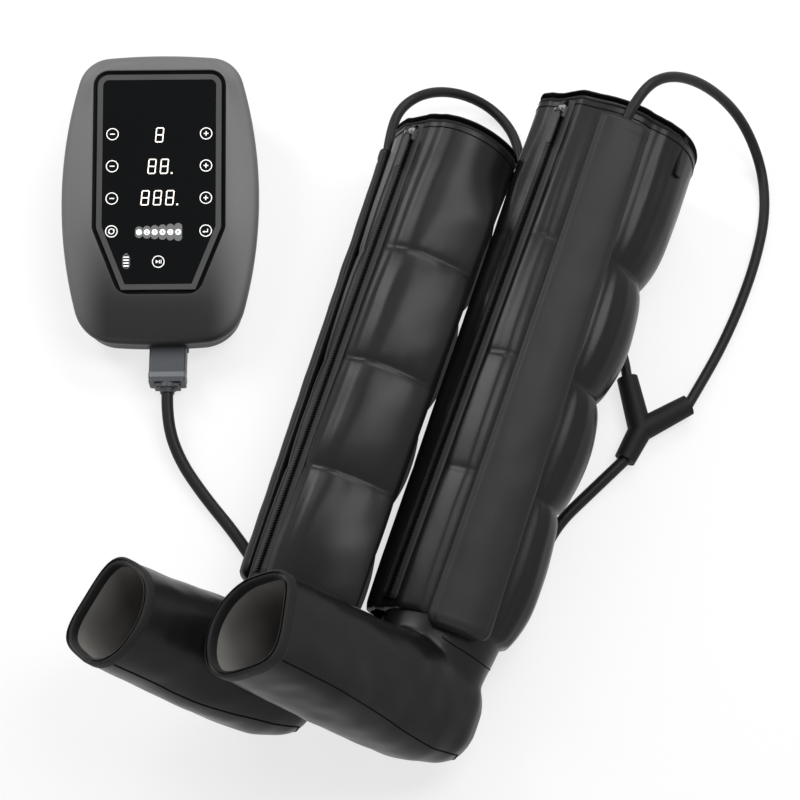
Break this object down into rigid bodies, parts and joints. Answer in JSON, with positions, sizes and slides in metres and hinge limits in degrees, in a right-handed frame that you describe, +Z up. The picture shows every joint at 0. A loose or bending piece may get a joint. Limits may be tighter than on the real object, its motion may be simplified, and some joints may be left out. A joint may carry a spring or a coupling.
{
  "type": "compression therapy pump",
  "caption": "Flat housing with a framed display and keys, an air hose with a Y splitter, and a pair of long zip-up chambered leg boots with open toes.",
  "frame": {"origin": "on the floor, at the middle of the pump housing between its four feet", "axes": "+Z up; +Y along the boots, from their soles to their thigh ends; +X from the pump towards the boots"},
  "size_m": [0.7395, 0.8096, 0.26],
  "materials": {
    "housing": "satin",
    "bezel": "satin",
    "display": "polished",
    "keys": "polished",
    "circuit_board": "satin",
    "light_guides": "satin",
    "switches": "matt",
    "battery": "satin",
    "frame_metal": "satin",
    "motor_metal": "satin",
    "shaft_metal": "bright",
    "mount_rubber": "matt",
    "manifold": "satin",
    "silicone": "satin",
    "plug": "satin",
    "collar": "satin",
    "hose": "satin",
    "splitter": "matt",
    "sleeve_fabric": "coated",
    "binding": "woven",
    "cover_fabric": "coated",
    "zip_tape": "woven",
    "zip_metal": "bright"
  },
  "bodies": {
    "pump_hoses_and_boots": {"front_cover": "housing", "rear_cover": "housing", "display_bezel": "bezel", "display_glass": "display", "display_board": "circuit_board", "display_modules": "light_guides", "key_switches": "switches", "main_board": "circuit_board", "battery_pack": "battery", "compressor_frame": "frame_metal", "compressor_mounts": "mount_rubber", "compressor_motor": "motor_metal", "pump_head": "frame_metal", "head_cover": "frame_metal", "valve_manifold": "manifold", "solenoid_valves": "motor_metal", "air_tubes": "silicone", "feed_tube": "silicone", "hose_socket": "plug", "charging_jack": "switches", "rubber_feet": "mount_rubber", "cover_screws": "shaft_metal", "hose_plug": "plug", "hose_collar": "collar", "y_splitter": "splitter", "trunk_hose": "hose", "branch_hose_left": "hose", "branch_hose_right": "hose", "leg_sleeve_left": "sleeve_fabric", "foot_sleeve_left": "sleeve_fabric", "top_binding_left": "binding", "toe_binding_left": "binding", "hose_cover_left": "cover_fabric", "air_line_left": "hose", "front_zip_left": "zip_tape", "side_pull_left": "zip_tape", "leg_sleeve_right": "sleeve_fabric", "foot_sleeve_right": "sleeve_fabric", "top_binding_right": "binding", "toe_binding_right": "binding", "hose_cover_right": "cover_fabric", "air_line_right": "hose", "front_zip_right": "zip_tape", "side_pull_right": "zip_tape"},
    "key_mode_minus": {"key_mode_minus": "keys"},
    "key_mode_plus": {"key_mode_plus": "keys"},
    "key_time_minus": {"key_time_minus": "keys"},
    "key_time_plus": {"key_time_plus": "keys"},
    "key_pressure_minus": {"key_pressure_minus": "keys"},
    "key_pressure_plus": {"key_pressure_plus": "keys"},
    "key_position": {"key_position": "keys"},
    "key_confirm": {"key_confirm": "keys"},
    "key_play_pause": {"key_play_pause": "keys"},
    "drive_shaft": {"drive_shaft": "shaft_metal"},
    "zip_slider_left": {"zip_slider_left": "zip_metal"},
    "zip_slider_right": {"zip_slider_right": "zip_metal"},
    "zip_tab_left": {"zip_tab_left": "zip_tape"},
    "zip_tab_right": {"zip_tab_right": "zip_tape"}
  },
  "joints": [
    {"name": "key_mode_minus_travel", "type": "slide", "parent": "pump_hoses_and_boots", "child": "key_mode_minus", "axis": [-0.0694, 0.196, -0.9781], "range_m": [0, 0.0005], "stiffness_N_per_m": 600, "springref_m": -0.001},
    {"name": "key_mode_plus_travel", "type": "slide", "parent": "pump_hoses_and_boots", "child": "key_mode_plus", "axis": [-0.0694, 0.196, -0.9781], "range_m": [0, 0.0005], "stiffness_N_per_m": 600, "springref_m": -0.001},
    {"name": "key_time_minus_travel", "type": "slide", "parent": "pump_hoses_and_boots", "child": "key_time_minus", "axis": [-0.0694, 0.196, -0.9781], "range_m": [0, 0.0005], "stiffness_N_per_m": 600, "springref_m": -0.001},
    {"name": "key_time_plus_travel", "type": "slide", "parent": "pump_hoses_and_boots", "child": "key_time_plus", "axis": [-0.0694, 0.196, -0.9781], "range_m": [0, 0.0005], "stiffness_N_per_m": 600, "springref_m": -0.001},
    {"name": "key_pressure_minus_travel", "type": "slide", "parent": "pump_hoses_and_boots", "child": "key_pressure_minus", "axis": [-0.0694, 0.196, -0.9781], "range_m": [0, 0.0005], "stiffness_N_per_m": 600, "springref_m": -0.001},
    {"name": "key_pressure_plus_travel", "type": "slide", "parent": "pump_hoses_and_boots", "child": "key_pressure_plus", "axis": [-0.0694, 0.196, -0.9781], "range_m": [0, 0.0005], "stiffness_N_per_m": 600, "springref_m": -0.001},
    {"name": "key_position_travel", "type": "slide", "parent": "pump_hoses_and_boots", "child": "key_position", "axis": [-0.0694, 0.196, -0.9781], "range_m": [0, 0.0005], "stiffness_N_per_m": 600, "springref_m": -0.001},
    {"name": "key_confirm_travel", "type": "slide", "parent": "pump_hoses_and_boots", "child": "key_confirm", "axis": [-0.0694, 0.196, -0.9781], "range_m": [0, 0.0005], "stiffness_N_per_m": 600, "springref_m": -0.001},
    {"name": "key_play_pause_travel", "type": "slide", "parent": "pump_hoses_and_boots", "child": "key_play_pause", "axis": [-0.0694, 0.196, -0.9781], "range_m": [0, 0.0005], "stiffness_N_per_m": 600, "springref_m": -0.001},
    {"name": "drive_shaft_turn", "type": "hinge", "parent": "pump_hoses_and_boots", "child": "drive_shaft", "pos_m": [-0.03436, 0.07906, 0.034], "axis": [0.9426, 0.3338, 0], "continuous": true},
    {"name": "zip_left_slide", "type": "slide", "parent": "pump_hoses_and_boots", "child": "zip_slider_left", "axis": [-0.0168, -0.9927, -0.1197], "range_m": [0, 0.4614]},
    {"name": "zip_tab_left_swing", "type": "hinge", "parent": "zip_slider_left", "child": "zip_tab_left", "pos_m": [0.37012, 0.19531, 0.15349], "axis": [-0.7086, 0.0963, -0.699], "range_deg": [0, 150]},
    {"name": "zip_right_slide", "type": "slide", "parent": "pump_hoses_and_boots", "child": "zip_slider_right", "axis": [0.0046, -0.9945, -0.105], "range_m": [0, 0.426]},
    {"name": "zip_tab_right_swing", "type": "hinge", "parent": "zip_slider_right", "child": "zip_tab_right", "pos_m": [0.23359, 0.12038, 0.15375], "axis": [-0.6964, 0.0722, -0.7141], "range_deg": [0, 150]}
  ]
}
